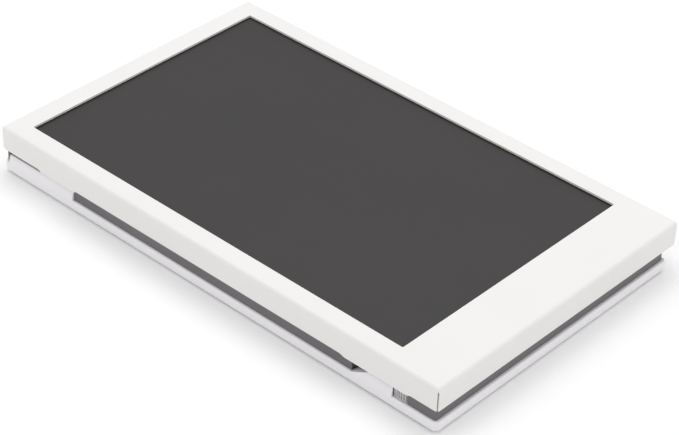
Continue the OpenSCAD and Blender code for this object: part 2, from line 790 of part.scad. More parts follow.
module power_socket() color("lightsteelblue") {
    y1 = core_hi[1] - mouth_gap;
    z_mid = z_board - usb_h / 2;
    difference() {
        box([usb_x - usb_w / 2, y1 - usb_d, z_board - usb_h], [usb_x + usb_w / 2, y1, z_board]);
        box([usb_x - usb_w / 2 + usb_h / 2, y1 - usb_d + 1, z_board - usb_h + 0.4],
            [usb_x + usb_w / 2 - usb_h / 2, y1 + over, z_board - 0.4]);
        for (dx = [-1, 1])
            rod_y([usb_x + dx * (usb_w - usb_h) / 2, y1 - usb_d + 1, z_mid], usb_d, usb_h / 2 - 0.4);
    }
    box([usb_x - 3.3, y1 - usb_d + 0.5, z_mid - 0.35], [usb_x + 3.3, y1 - 1.2, z_mid + 0.35]);
}

module power_switch() color([0.15, 0.15, 0.16]) {
    difference() {
        box([button_x - switch_w / 2, switch_y1 - switch_d, z_board - switch_h],
            [button_x + switch_w / 2, switch_y1, z_board]);
        rod_y([button_x, switch_y1 - 2, z_port], 2 + over, plunger_r + 0.1);
    }
}

module switch_plunger() color("dimgray") {
    rod_y([button_x, switch_y1 - 1, z_port], 2, plunger_r);
}

// The button's cap, its inner flange and the stem that meets the plunger
module power_button() color([0.25, 0.24, 0.25]) {
    y_flange = core_in_hi[1] - seat_gap;
    slab_y(button_x, button_l / 2, button_h, y_flange - 0.1, core_hi[1] + button_proud);
    slab_y(button_x, button_l / 2 + slide_gap + button_flange_lap + 0.6,
        button_h + 2 * button_flange_lap, y_flange - button_flange, y_flange);
    box([button_x - 1.2, switch_y1 + 1, z_port - 1], [button_x + 1.2, y_flange - button_flange, z_port + 1]);
}

// A bar along Y, centred on x and on the controls' level
module slab_y(x, half_w, h, y0, y1) {
    box([x - half_w, y0, z_port - h / 2], [x + half_w, y1, z_port + h / 2]);
}

module cell_holder() color([0.2, 0.2, 0.2]) {
    difference() {
        rod([cell_at[0], cell_at[1], z_board - 3], 3, cell_r + 1.2);
        rod([cell_at[0], cell_at[1], z_board - 3 - over], cell_h + 0.3 + over, cell_r + slide_gap);
        box([cell_at[0] - 3, cell_at[1] - 2 * cell_r, z_board - 3 - over],
            [cell_at[0] + 3, cell_at[1], z_board - 0.8]);
    }
}

module clock_cell() color("lightgray") {
    rod([cell_at[0], cell_at[1], z_board - 3 + 0.2], cell_h, cell_r);
}

module flex_connector() color("ivory") {
    slab([flex_x - flex_w / 2 - 2, flex_plug_y - 2.5], [flex_x + flex_w / 2 + 2, flex_plug_y + 2.5],
        z_board + board_t, z_flex);
}

// Flat cable from the display, down outside its tray and back under the deck to the board
module display_flex() color("peru") {
    x0 = flex_x - flex_w / 2;
    x1 = flex_x + flex_w / 2;
    box([x0, tray_hi[1], z_glass - 1.4], [x1, flex_y + flex_t, z_glass - 1.4 + flex_t]);
    box([x0, flex_y, z_flex], [x1, flex_y + flex_t, z_glass - 1.4]);
    box([x0, flex_plug_y - 2, z_flex], [x1, flex_y + flex_t, z_flex + flex_t]);
}

// Plugs for the wheel's lead and the speakers' leads
module lead_connectors() color("ivory") {
    for (p = [[connector_x, board_lo[1] + 20], [wheel_lead_x, board_lo[1] + 12]])
        under_board(p, [4, 6, 2]);
}

module wheel_board() color("darkgreen") {
    difference() {
        slab(wheel_board_lo, wheel_board_hi, z_wheel_board, z_encoder, 1);
        for (p = wheel_screw_at)
            rod([p[0], p[1], z_wheel_board - over], wheel_board_t + 2 * over, board_screw[0] + slide_gap);
    }
}

module wheel_encoder() color([0.15, 0.15, 0.16]) {
    half = [encoder_w / 2, encoder_w / 2];
    difference() {
        slab([wheel_x, wheel_y] - half, [wheel_x, wheel_y] + half, z_encoder, z_encoder + encoder_h);
        rod([wheel_x, wheel_y, z_encoder + 0.3], encoder_h + over, shaft_r + run_gap);
    }
}

module wheel_shaft() color("silver") {
    rod([wheel_x, wheel_y, z_encoder + 0.4], z_deck + 1 - z_encoder - 0.4, shaft_r);
}

module jog_wheel() color([0.75, 0.74, 0.75]) {
    translate([wheel_x, wheel_y, z_wheel])
        linear_extrude(wheel_h)
            difference() {
                circle(wheel_r);
                circle(shaft_r + 0.02);
                for (i = [0 : wheel_grooves - 1])
                    rotate(i * 360 / wheel_grooves) translate([wheel_r, 0]) circle(groove_r);
            }
}

module wheel_lead() color([0.3, 0.3, 0.3]) {
    y = wheel_board_hi[1] - wheel_lead_in;
    lead([
        [wheel_board_lo[0] - lead_w / 2, y, z_lead + lead_h / 2],
        [wheel_lead_x, y, z_lead + lead_h / 2],
        [wheel_lead_x, board_lo[1] + 12, z_lead + lead_h / 2],
        [wheel_lead_x, board_lo[1] + 12, z_board - 2 - lead_h / 2]
    ]);
}

module speaker_leads() color("firebrick") {
    for (side = [-1, 1])
        lead([
            [speaker_x - speaker_size[0] / 2 - lead_w / 2, side * speaker_y, z_lead + lead_h / 2],
            [connector_x, side * speaker_y, z_lead + lead_h / 2],
            [connector_x, board_lo[1] + 20, z_lead + lead_h / 2],
            [connector_x, board_lo[1] + 20, z_board - 2 - lead_h / 2]
        ]);
}

module speakers() color([0.12, 0.12, 0.12]) {
    for (side = [-1, 1])
        difference() {
            speaker_block(side, 0, z_floor + speaker_gasket_t, z_floor + speaker_gasket_t + speaker_size[2]);
            speaker_block(side, 2.5, z_floor, z_floor + speaker_gasket_t + 1.2);
        }
}

module speaker_gaskets() color("dimgray") {
    for (side = [-1, 1])
        difference() {
            speaker_block(side, 0, z_floor, z_floor + speaker_gasket_t);
            speaker_block(side, 1.5, z_floor - over, z_floor + speaker_gasket_t + over);
        }
}

// A speaker's outline, drawn in by inset, between two levels
module speaker_block(side, inset, z0, z1) {
    half = [speaker_size[0] / 2 - inset, speaker_size[1] / 2 - inset];
    slab([speaker_x, side * speaker_y] - half, [speaker_x, side * speaker_y] + half, z0, z1,
        3 - inset / 2);
}

module hanger_plates() color("lightgray") {
    for (p = hanger_at)
        difference() {
            slab([p[0] - hanger_plate[0] / 2 - 3, p[1] - hanger_plate[1] / 2],
                [p[0] + hanger_plate[0] / 2 - 3, p[1] + hanger_plate[1] / 2],
                z_floor, z_floor + hanger_t, 2);
            keyhole(p, hanger_entry_r, hanger_slot_r, z_floor - over, z_floor + hanger_t + over);
            for (dy = [-0.5, 0.5])
                rod([p[0], p[1] + dy * hanger_screw_pitch, z_floor - over], hanger_t + 2 * over,
                    board_screw[0] + slide_gap);
        }
}

module hanger_screws() color("silver") {
    for (p = hanger_at)
        for (dy = [-0.5, 0.5])
            screw_down([p[0], p[1] + dy * hanger_screw_pitch], z_floor + hanger_t, board_screw,
                hanger_t + 1);
}

module board_screws() color("silver") {
    for (p = board_screw_at)
        screw_up(p, z_board - board_screw[2], board_screw, board_t + standoff_h + 0.8);
    for (p = wheel_screw_at)
        screw_down(p, z_encoder, board_screw, wheel_board_t + wheel_pad_h + 1);
}

module cover_screws() color("silver") {
    for (p = cover_screw_at)
        screw_up(p, z_cover + head_recess, cover_screw, 9);
}

// Threaded studs welded under the bezel's chin
module bezel_studs() color("tan") {
    for (p = stud_at)
        difference() {
            rod([p[0], p[1], z_deck_top], z_top - sheet_t - z_deck_top, stud_r);
            rod([p[0], p[1], z_deck_top - over], over + 4.5, bezel_screw[0] + seat_gap);
        }
}

module bezel_screws() color("silver") {
    for (p = stud_at)
        screw_up(p, z_deck - bezel_screw[2], bezel_screw, deck_t + 4);
}

module rubber_feet() color([0.2, 0.2, 0.2]) {
    for (p = foot_at)
        rod([p[0], p[1], 0], foot_t, foot_r);
}

module hinge_pin() color("silver") {
    rod_y([hinge_x, pocket_lo[1] - ear_t, z_hinge], pocket_hi[1] - pocket_lo[1] + 2 * ear_t, pin_r);
}

module hinge_washers() color("gold") {
    washer_t = leg_side_gap - 0.04;
    for (y = [pocket_lo[1] + 0.02, pocket_hi[1] - 0.02 - washer_t])
        difference() {
            rod_y([hinge_x, y, z_hinge], washer_t, barrel_r - 0.3);
            rod_y([hinge_x, y - over, z_hinge], washer_t + 2 * over, pin_r + run_gap);
        }
}

module stand_leg() color("ghostwhite") {
    z0 = z_hinge - barrel_r;
    difference() {
        union() {
            slab([hinge_x - heel_l, -leg_w / 2], [hinge_x + leg_l - pad_l, leg_w / 2], z0, z_hinge);
            rod_y([hinge_x, -leg_w / 2, z_hinge], leg_w, barrel_r);
            for (y = [-leg_w / 2 + leg_rib_w, -leg_rib_w / 2, leg_w / 2 - 2 * leg_rib_w])
                slab([hinge_x + barrel_r + 4, y], [hinge_x + leg_l - pad_l - 4, y + leg_rib_w],
                    z_hinge - 0.5, z_hinge + leg_rib_h);
        }
        rod_y([hinge_x, -leg_w / 2 - over, z_hinge], leg_w + 2 * over, pin_r + run_gap);
    }
}

module leg_pad() color([0.2, 0.2, 0.2]) {
    z0 = z_hinge - barrel_r;
    r = pad_l / 2;
    x0 = hinge_x + leg_l - pad_l;
    x1 = hinge_x + leg_l;
    slab([x0, -leg_w / 2], [x1 - r, leg_w / 2], z0, z_hinge);
    slab([x0, -leg_w / 2 + r], [x1, leg_w / 2 - r], z0, z_hinge);
    for (side = [-1, 1])
        rod([x1 - r, side * (leg_w / 2 - r), z0], z_hinge - z0, r);
}

bezel();
window_gasket();
cover_glass();
lcd_cell();
light_guide();
panel_frame();
led_bar();
panel_tray();
display_tape();
mid_frame();
back_cover();
main_board();
shield_can();
board_chips();
wifi_module();
wifi_antenna();
antenna_lead();
card_socket();
power_socket();
power_switch();
cell_holder();
clock_cell();
flex_connector();
display_flex();
lead_connectors();
wheel_board();
wheel_encoder();
wheel_lead();
speakers();
speaker_gaskets();
speaker_leads();
hanger_plates();
hanger_screws();
board_screws();
cover_screws();
bezel_studs();
bezel_screws();
rubber_feet();
hinge_pin();
hinge_washers();
stand_leg();
leg_pad();
jog_wheel();
wheel_shaft();
power_button();
switch_plunger();
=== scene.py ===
"""Finished surfaces and detailed pieces for a digital photo frame that lies on its back.

The frame's packed solids give every place and size. Each operator below makes one piece or one
group of like pieces, and the last one makes the floor, the lights and the camera.
All lengths are in metres: +X points to the wide chin, -Y is the jog wheel side, +Z is the screen.
"""

import json
import math

import bmesh
import bpy
from mathutils import Matrix, Vector


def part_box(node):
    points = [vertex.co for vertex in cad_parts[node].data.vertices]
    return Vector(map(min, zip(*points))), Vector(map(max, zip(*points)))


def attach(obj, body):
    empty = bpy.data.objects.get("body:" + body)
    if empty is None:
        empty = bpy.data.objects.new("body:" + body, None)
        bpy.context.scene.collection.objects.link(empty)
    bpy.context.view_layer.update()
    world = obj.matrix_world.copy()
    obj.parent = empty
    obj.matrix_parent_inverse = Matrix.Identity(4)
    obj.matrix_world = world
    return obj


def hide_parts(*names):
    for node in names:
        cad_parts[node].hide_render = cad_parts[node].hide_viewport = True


bl_info = {
    "name": "Digital Photo Frame",
    "version": (1, 0, 0),
    "blender": (4, 5, 0),
    "location": "3D View > Sidebar > Photo Frame",
    "description": "Builds the detailed pieces and finishes of a digital photo frame",
    "category": "Object",
}

MM = 0.001

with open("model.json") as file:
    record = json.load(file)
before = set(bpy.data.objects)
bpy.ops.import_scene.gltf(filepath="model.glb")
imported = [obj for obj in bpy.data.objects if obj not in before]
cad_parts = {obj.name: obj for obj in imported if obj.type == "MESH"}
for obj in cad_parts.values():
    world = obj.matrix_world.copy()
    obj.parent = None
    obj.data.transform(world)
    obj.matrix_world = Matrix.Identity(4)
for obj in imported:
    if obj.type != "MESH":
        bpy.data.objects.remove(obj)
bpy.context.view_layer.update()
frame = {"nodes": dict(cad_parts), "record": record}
NODES = frame["nodes"]
SLOT_OF = {part["node"]: part["material_slot"] for part in frame["record"]["subparts"]}
BEZEL_LO, BEZEL_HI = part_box("bezel")
WHEEL_LO, WHEEL_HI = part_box("jog_wheel")
WHEEL_AXIS = (WHEEL_LO + WHEEL_HI) / 2
FOLD_RUN = 12  # rows round the bezel's fold
CORNER_RUN = 6  # columns round half of an upright corner
TAB_RUN = 8  # columns along a tab's sloping end
INNER_CORNER = 0.12 * MM  # radius of the nearly sharp corners inside the bezel
CREASE = 40  # degrees; an edge sharper than this is rounded, or stays crisp
WORLD_LIGHT = 0.62
# name: place, size and power of each soft light
LIGHTS = {
    "overhead": ((-0.3, 0.5, 1.9), 1.8, 20),
    "wheel side": ((-0.9, -1.5, 0.8), 1.2, 4),
    "chin side": ((1.7, 0.3, 0.7), 1.0, 3.2),
}


# --------------------------------------------------------------------------------------------
# Sizes and colours that a user would change
# --------------------------------------------------------------------------------------------


def length(label, note, value):
    """A length property, in metres, whose default is given in millimetres."""
    return bpy.props.FloatProperty(
        name=label, description=note, default=value * MM, unit="LENGTH", precision=5
    )


def colour(label, note, value):
    """A linear colour property."""
    return bpy.props.FloatVectorProperty(
        name=label, description=note, default=value, size=3, subtype="COLOR", min=0, max=1
    )


class BezelSizes(bpy.types.PropertyGroup):
    """The folded sheet bezel"""

    sheet: length("Sheet", "Thickness of the bezel's sheet", 1.0)
    fold: length("Fold", "Outer radius of the fold from face to flange", 1.6)
    corner: length("Corner", "Radius of the flanges' upright corners", 1.0)
    end_margin: length("Plain end border", "Border at the plain short end", 10.5)
    chin_margin: length("Chin border", "Border at the wide short end", 26.8)
    side_margin: length("Side border", "Border along both long sides", 9.4)
    window_corner: length("Window corner", "Radius of the window's corners", 0.6)
    flange: length("Flange", "Height of the flanges", 11.5)
    flange_corner: length("Flange corner", "Radius of the flanges' lower corners", 2.6)
    near_corner: length("Near corner", "Lower corner radius at the chin, wheel side", 1.2)
    support: length("Support", "Width of the flat band that ends the fold's shading", 0.3)
    seam_start: length("Seam start", "Drop over which the corner seam opens", 0.7)
    seam_angle: bpy.props.FloatProperty(
        name="Seam", description="Half width of the open seam, round the corner",
        default=math.radians(22), subtype="ANGLE",
    )
    tab_drop: length("Tab drop", "How far the long tabs hang below the flange", 0.8)
    tab_ramp: length("Tab ramp", "Length of a tab's sloping end", 3.7)
    end_tab_start: length("End tab start", "From the plain end to the first tab", 26.5)
    end_tab_length: length("End tab length", "Length of the first tab", 18.8)
    chin_tab_past_wheel: length("Chin tab end", "How far the second tab runs past the wheel", 3.0)
    chin_tab_length: length("Chin tab length", "Length of the second tab", 31.2)
    edge: length("Edge", "Softening of the sheet's cut edges", 0.16)


class SoftSizes(bpy.types.PropertyGroup):
    """Softened edges of the mouldings"""

    cover_edge: length("Cover edge", "Softening of the back cover's edges", 0.25)
    core_edge: length("Mid frame edge", "Softening of the mid frame's edges", 0.2)
    leg_edge: length("Leg edge", "Softening of the stand leg's edges", 0.35)
    button_edge: length("Button edge", "Softening of the button's edges", 0.3)
    plate_edge: length("Plate edge", "Softening of stamped plates and sockets", 0.12)


class WheelSizes(bpy.types.PropertyGroup):
    """The grooved jog wheel"""

    ribs: bpy.props.IntProperty(
        name="Ribs", description="Number of ribs round the wheel", default=34, min=8, max=80
    )
    rib_width: length("Rib width", "Width of a rib at its crest", 0.62)
    rib_depth: length("Rib depth", "How far a rib stands out of the hub", 0.55)
    rim: length("Rim", "Height of the smooth band over and under the ribs", 0.35)


class ScrewSizes(bpy.types.PropertyGroup):
    """Screw heads with a cross recess"""

    head: length("Head", "Height of the head", 1.4)
    shank: length("Shank", "Radius of the shank", 1.3)
    recess: length("Recess depth", "Depth of the cross recess", 0.7)
    recess_width: length("Recess width", "Width of one arm of the cross", 0.55)


class FootSizes(bpy.types.PropertyGroup):
    """Rubber feet"""

    dish: length("Dish", "Depth of the shallow dish in a foot", 0.25)
    round: length("Rounding", "Rounding of a foot's edge", 0.3)


class FinishColours(bpy.types.PropertyGroup):
    """Colours of the surfaces that show"""

    bezel: colour("Bezel", "Powder coat of the bezel", (0.845, 0.83, 0.815))
    cover: colour("Cover", "Satin moulding of the cover and leg", (0.88, 0.865, 0.89))
    core: colour("Mid frame", "Textured moulding of the mid frame", (0.145, 0.138, 0.145))
    screen: colour("Screen", "Matt screen", (0.030, 0.027, 0.027))
    wheel: colour("Wheel ribs", "Ribs of the jog wheel", (0.56, 0.55, 0.56))
    button: colour("Button", "Power button", (0.12, 0.115, 0.12))
    rubber: colour("Rubber", "Feet and the leg's tip", (0.045, 0.045, 0.047))
    floor: colour("Floor", "Plain pale floor", (0.97, 0.97, 0.97))


class StageSizes(bpy.types.PropertyGroup):
    """Camera, floor and lights"""

    azimuth: bpy.props.FloatProperty(
        name="Azimuth", description="Turn of the camera about the upright, from +Y",
        default=math.radians(41.54), subtype="ANGLE",
    )
    elevation: bpy.props.FloatProperty(
        name="Elevation", description="Height of the camera above the horizon",
        default=math.radians(35.94), subtype="ANGLE",
    )
    roll: bpy.props.FloatProperty(
        name="Roll", description="Turn of the camera about its own axis",
        default=math.radians(2.11), subtype="ANGLE",
    )
    distance: length("Distance", "From the camera to the point it aims at", 980.2)
    aim: bpy.props.FloatVectorProperty(
        name="Aim", description="Point on the screen side that the camera aims at",
        default=(24.38 * MM, -22.02 * MM, 23.4 * MM), subtype="TRANSLATION", unit="LENGTH",
    )
    lens: bpy.props.FloatProperty(
        name="Lens", description="Focal length on a 36 mm wide sensor, in millimetres",
        default=124.07,
    )


# --------------------------------------------------------------------------------------------
# Meshes
# --------------------------------------------------------------------------------------------


def to_object(bm, name):
    """Turns a bmesh into an object at the origin."""
    mesh = bpy.data.meshes.new(name)
    bm.to_mesh(mesh)
    bm.free()
    obj = bpy.data.objects.new(name, mesh)
    bpy.context.scene.collection.objects.link(obj)
    return obj


def solid_copy(node, name):
    """A merged copy of a packed solid, with its flat faces joined."""
    bm = bmesh.new()
    bm.from_mesh(NODES[node].data)
    bmesh.ops.remove_doubles(bm, verts=bm.verts, dist=0.002 * MM)
    bmesh.ops.dissolve_limit(bm, angle_limit=math.radians(0.6), verts=bm.verts, edges=bm.edges)
    return to_object(bm, name)


def shade(obj, angle=35):
    """Smooth shading that stays crisp at edges sharper than the angle."""
    obj.data.shade_smooth()
    obj.data.set_sharp_from_angle(angle=math.radians(angle))


def soften(obj, width, angle=CREASE, segments=2):
    """Rounds sharp edges, keeps wide faces flat in their shading, and bakes both into the mesh."""
    modifier = obj.modifiers.new("soft edges", "BEVEL")
    modifier.width = width
    modifier.segments = segments
    modifier.limit_method = "ANGLE"
    modifier.angle_limit = math.radians(angle)
    modifier.miter_outer = "MITER_ARC"
    modifier.use_clamp_overlap = True
    shade(obj, CREASE)
    weigh = obj.modifiers.new("face weighted normals", "WEIGHTED_NORMAL")
    weigh.keep_sharp = True
    weigh.weight = 100
    bake_modifiers(obj)


def bake_modifiers(obj):
    """Replaces an object's mesh with the evaluated one and drops its modifiers."""
    bpy.context.view_layer.update()
    evaluated = obj.evaluated_get(bpy.context.evaluated_depsgraph_get())
    mesh = bpy.data.meshes.new_from_object(evaluated)
    mesh.name = obj.name
    obj.modifiers.clear()
    obj.data = mesh


def finish_piece(obj, body, slot, material, *replaced):
    """Gives a piece its material and body, and hides the solids it stands for. The slot argument is not
    used.
    """
    if not obj.data.polygons:
        raise RuntimeError(f"{obj.name} has no faces")
    obj.data.materials.clear()
    obj.data.materials.append(material)
    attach(obj, body)
    if replaced:
        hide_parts(*replaced)
    return obj


def paint_node(node, material):
    """Gives a packed solid that stays in view its material."""
    for holder in NODES[node].material_slots:
        holder.material = material


# --------------------------------------------------------------------------------------------
# Materials
# --------------------------------------------------------------------------------------------


class Surface:
    """A procedural material round one Principled shader, on object coordinates."""

    def __init__(self, name, base, roughness, metallic=0.0, specular=0.5):
        self.material = bpy.data.materials.new(name)
        self.material.use_nodes = True
        self.tree = self.material.node_tree
        self.shader = self.tree.nodes["Principled BSDF"]
        self.base = tuple(base)
        self.shader.inputs["Base Color"].default_value = (*self.base, 1)
        self.shader.inputs["Roughness"].default_value = roughness
        self.shader.inputs["Metallic"].default_value = metallic
        self.shader.inputs["Specular IOR Level"].default_value = specular
        self.place = self.tree.nodes.new("ShaderNodeTexCoord").outputs["Object"]

    def node(self, kind, **values):
        """Adds a node and sets its properties and its inputs by name."""
        made = self.tree.nodes.new(kind)
        for key, value in values.items():
            if key in made.inputs:
                made.inputs[key].default_value = value
            else:
                setattr(made, key, value)
        return made

    def link(self, a, b):
        self.tree.links.new(a, b)

    def noise(self, size, detail=3.0, stretch=(1, 1, 1)):
        """Noise whose features are about size across, drawn out by stretch."""
        mapping = self.node("ShaderNodeMapping", Scale=tuple(1 / s for s in stretch))
        self.link(self.place, mapping.inputs["Vector"])
        noise = self.node("ShaderNodeTexNoise", Scale=1 / size, Detail=detail, Roughness=0.6)
        self.link(mapping.outputs["Vector"], noise.inputs["Vector"])
        return noise.outputs["Fac"]

    def ramp(self, source, low, high):
        """Maps a texture's middle range to a range of values."""
        mapped = self.node("ShaderNodeMapRange")
        for key, value in (("From Min", 0.3), ("From Max", 0.7), ("To Min", low), ("To Max", high)):
            mapped.inputs[key].default_value = value
        self.link(source, mapped.inputs["Value"])
        return mapped.outputs["Result"]

    def vary_colour(self, size, amount, other=None, stretch=(1, 1, 1)):
        """Drifts the base colour between slightly darker and lighter, or towards another."""
        mix = self.node("ShaderNodeMix", data_type="RGBA")
        dark = other or tuple(c * (1 - amount) for c in self.base)
        light = self.base if other else tuple(min(1, c * (1 + amount)) for c in self.base)
        for socket, value in ((mix.inputs[6], dark), (mix.inputs[7], light)):
            socket.default_value = (*value, 1)
        self.link(self.ramp(self.noise(size, 2.0, stretch), 0, 1), mix.inputs["Factor"])
        self.link(mix.outputs[2], self.shader.inputs["Base Color"])
        return self

    def vary_roughness(self, size, low, high, stretch=(1, 1, 1)):
        """Drifts the roughness between two values."""
        source = self.ramp(self.noise(size, 3.0, stretch), low, high)
        self.link(source, self.shader.inputs["Roughness"])
        return self

    def grain(self, size, depth, detail=2.0, stretch=(1, 1, 1)):
        """Adds fine relief on top of any relief already there."""
        bump = self.node("ShaderNodeBump", Strength=1.0, Distance=depth)
        self.link(self.noise(size, detail, stretch), bump.inputs["Height"])
        if self.shader.inputs["Normal"].is_linked:
            self.link(self.shader.inputs["Normal"].links[0].from_socket, bump.inputs["Normal"])
        self.link(bump.outputs["Normal"], self.shader.inputs["Normal"])
        return self


def powder_coat(name, base):
    """Baked powder coat: satin, with the faint peel of the cured powder."""
    made = Surface(name, base, 0.5, specular=0.35)
    made.vary_colour(30 * MM, 0.012).vary_roughness(0.8 * MM, 0.46, 0.56)
    return made.grain(0.9 * MM, 0.006 * MM).grain(0.22 * MM, 0.003 * MM).material


def moulding(name, base, roughness=0.5, grain=0.012, variation=0.03, specular=0.5):
    """Moulded plastic with a spark-eroded texture and slight flow marks."""
    made = Surface(name, base, roughness, specular=specular)
    made.vary_colour(18 * MM, variation, stretch=(3, 1, 1))
    made.vary_roughness(0.5 * MM, roughness - 0.05, roughness + 0.06)
    return made.grain(0.28 * MM, grain * MM, detail=3.0).material


def matt_screen(name, base):
    """Anti-glare glass over a dark screen: a fine haze with hardly any gloss."""
    made = Surface(name, base, 0.55, specular=0.42)
    made.vary_colour(45 * MM, 0.035).vary_roughness(0.3 * MM, 0.5, 0.6)
    return made.grain(0.12 * MM, 0.0015 * MM, detail=2.0).material


def metal(name, base, roughness=0.35, brushed=(12, 1, 1)):
    """Drawn or rolled metal with fine lines along its grain."""
    made = Surface(name, base, roughness, metallic=1.0)
    made.vary_colour(4 * MM, 0.06, stretch=brushed)
    made.vary_roughness(0.5 * MM, roughness - 0.08, roughness + 0.1, stretch=brushed)
    return made.grain(0.12 * MM, 0.003 * MM, stretch=brushed).material


def rubber(name, base, roughness=0.75):
    """Soft matt rubber with a dusty bloom."""
    made = Surface(name, base, roughness, specular=0.3)
    made.vary_colour(2.5 * MM, 0.18).vary_roughness(1 * MM, roughness - 0.08, roughness + 0.08)
    return made.grain(0.2 * MM, 0.015 * MM).material


def circuit_board(name, base):
    """Solder mask over woven glass, with darker runs where there is no copper."""
    made = Surface(name, base, 0.35)
    made.vary_colour(2.2 * MM, 0, other=tuple(c * 0.55 for c in base), stretch=(5, 1, 1))
    return made.grain(0.35 * MM, 0.01 * MM, stretch=(1, 3, 1)).material


def clear_guide(name, base):
    """Clear acrylic backed by white films: bright, with a faint dot print."""
    made = Surface(name, base, 0.2)
    made.vary_colour(1.2 * MM, 0.05)
    return made.material


HIDDEN_FINISHES = {
    "foam_black": lambda n: rubber(n, (0.02, 0.02, 0.02), 0.9),
    "cell_black": lambda n: moulding(n, (0.015, 0.015, 0.017), 0.2, 0.002),
    "guide_clear": lambda n: clear_guide(n, (0.82, 0.86, 0.88)),
    "moulding_white": lambda n: moulding(n, (0.85, 0.84, 0.80), 0.45),
    "led_yellow": lambda n: moulding(n, (0.85, 0.75, 0.35), 0.3, 0.004, 0.12),
    "tray_metal": lambda n: metal(n, (0.72, 0.73, 0.74)),
    "tape_grey": lambda n: rubber(n, (0.18, 0.18, 0.18), 0.85),
    "board_green": lambda n: circuit_board(n, (0.03, 0.20, 0.09)),
    "tin_plate": lambda n: metal(n, (0.66, 0.67, 0.68), 0.28, (6, 1, 1)),
    "chip_black": lambda n: moulding(n, (0.03, 0.03, 0.03), 0.6, 0.008),
    "flex_amber": lambda n: moulding(n, (0.55, 0.28, 0.06), 0.25, 0.003, 0.15),
    "lead_black": lambda n: rubber(n, (0.03, 0.03, 0.03), 0.5),
    "lead_red": lambda n: rubber(n, (0.45, 0.04, 0.03), 0.5),
    "steel": lambda n: metal(n, (0.60, 0.60, 0.60), 0.32, (1, 8, 1)),
    "steel_dark": lambda n: metal(n, (0.18, 0.18, 0.19), 0.42, (3, 3, 1)),
    "washer_brass": lambda n: metal(n, (0.72, 0.55, 0.25), 0.3, (4, 1, 4)),
}

made_materials = {}


def finish_of(slot):
    """The material of one of the record's slots, made when it is first asked for."""
    if slot not in made_materials:
        tones = bpy.context.scene.finish_colours
        seen = {
            "bezel_white": lambda n: powder_coat(n, tones.bezel),
            "cover_white": lambda n: moulding(n, tones.cover, 0.5, 0.01, 0.015, 0.4),
            "core_dark": lambda n: moulding(n, tones.core, 0.55, 0.02, 0.06, 0.4),
            "screen_glass": lambda n: matt_screen(n, tones.screen),
            "wheel_grey": lambda n: moulding(n, tones.wheel, 0.4, 0.006),
            "button_dark": lambda n: moulding(n, tones.button, 0.5),
            "rubber_dark": lambda n: rubber(n, tones.rubber),
        }
        make = seen.get(slot) or HIDDEN_FINISHES[slot]
        made_materials[slot] = make("finish " + slot)
    return made_materials[slot]


# --------------------------------------------------------------------------------------------
# Geometry Nodes
# --------------------------------------------------------------------------------------------


class Tree:
    """A Geometry Nodes tree with named inputs, built step by step."""

    def __init__(self, name, inputs):
        self.group = bpy.data.node_groups.new(name, "GeometryNodeTree")
        face = self.group.interface
        face.new_socket("Geometry", in_out="INPUT", socket_type="NodeSocketGeometry")
        face.new_socket("Geometry", in_out="OUTPUT", socket_type="NodeSocketGeometry")
        for label, kind in inputs.items():
            face.new_socket(label, in_out="INPUT", socket_type="NodeSocket" + kind)
        self.start = self.group.nodes.new("NodeGroupInput")
        self.stop = self.group.nodes.new("NodeGroupOutput")

    def input(self, label):
        return self.start.outputs[label]

    def node(self, kind, **inputs):
        """Adds a node. Inputs are given by name, as a value or as another node's output."""
        made = self.group.nodes.new(kind)
        for key, value in inputs.items():
            socket = made.inputs[key.replace("_", " ")]
            if isinstance(value, bpy.types.NodeSocket):
                self.group.links.new(value, socket)
            else:
                socket.default_value = value
        return made

    def math(self, operation, a, b=0.0):
        """One arithmetic step on two numbers or outputs."""
        made = self.group.nodes.new("ShaderNodeMath")
        made.operation = operation
        for socket, value in zip(made.inputs, (a, b)):
            if isinstance(value, bpy.types.NodeSocket):
                self.group.links.new(value, socket)
            else:
                socket.default_value = value
        return made.outputs[0]

    def vector(self, x=0.0, y=0.0, z=0.0):
        return self.node("ShaderNodeCombineXYZ", X=x, Y=y, Z=z).outputs[0]

    def place(self, geometry, move):
        """Moves geometry."""
        return self.node("GeometryNodeTransform", Geometry=geometry, Translation=move).outputs[0]

    def on_points(self, points, instance):
        """Puts an instance on every point."""
        made = self.node("GeometryNodeInstanceOnPoints", Points=points, Instance=instance)
        return made.outputs[0]

    def join(self, *parts):
        joined = self.group.nodes.new("GeometryNodeJoinGeometry")
        for part in parts:
            self.group.links.new(part, joined.inputs[0])
        return joined.outputs[0]

    def finish(self, geometry):
        """Ends the tree: realised, merged and with its material."""
        real = self.node("GeometryNodeRealizeInstances", Geometry=geometry).outputs[0]
        painted = self.node("GeometryNodeSetMaterial", Geometry=real, Material=self.input("Material"))
        self.group.links.new(painted.outputs[0], self.stop.inputs[0])

    def run(self, name, points, values):
        """Runs the tree on points and returns the plain mesh object."""
        mesh = bpy.data.meshes.new(name)
        mesh.from_pydata([tuple(p) for p in points], [], [])
        obj = bpy.data.objects.new(name, mesh)
        bpy.context.scene.collection.objects.link(obj)
        modifier = obj.modifiers.new("pattern", "NODES")
        modifier.node_group = self.group
        for item in self.group.interface.items_tree:
            if item.in_out == "INPUT" and item.name in values:
                modifier[item.identifier] = values[item.name]
        bake_modifiers(obj)
        close_mesh(obj)
        return obj


def close_mesh(obj):
    """Merges doubled points and turns the faces outward."""
    bm = bmesh.new()
    bm.from_mesh(obj.data)
    bmesh.ops.remove_doubles(bm, verts=bm.verts, dist=0.001 * MM)
    bmesh.ops.dissolve_degenerate(bm, edges=bm.edges, dist=0.0005 * MM)
    bmesh.ops.recalc_face_normals(bm, faces=bm.faces)
    bm.to_mesh(obj.data)
    bm.free()


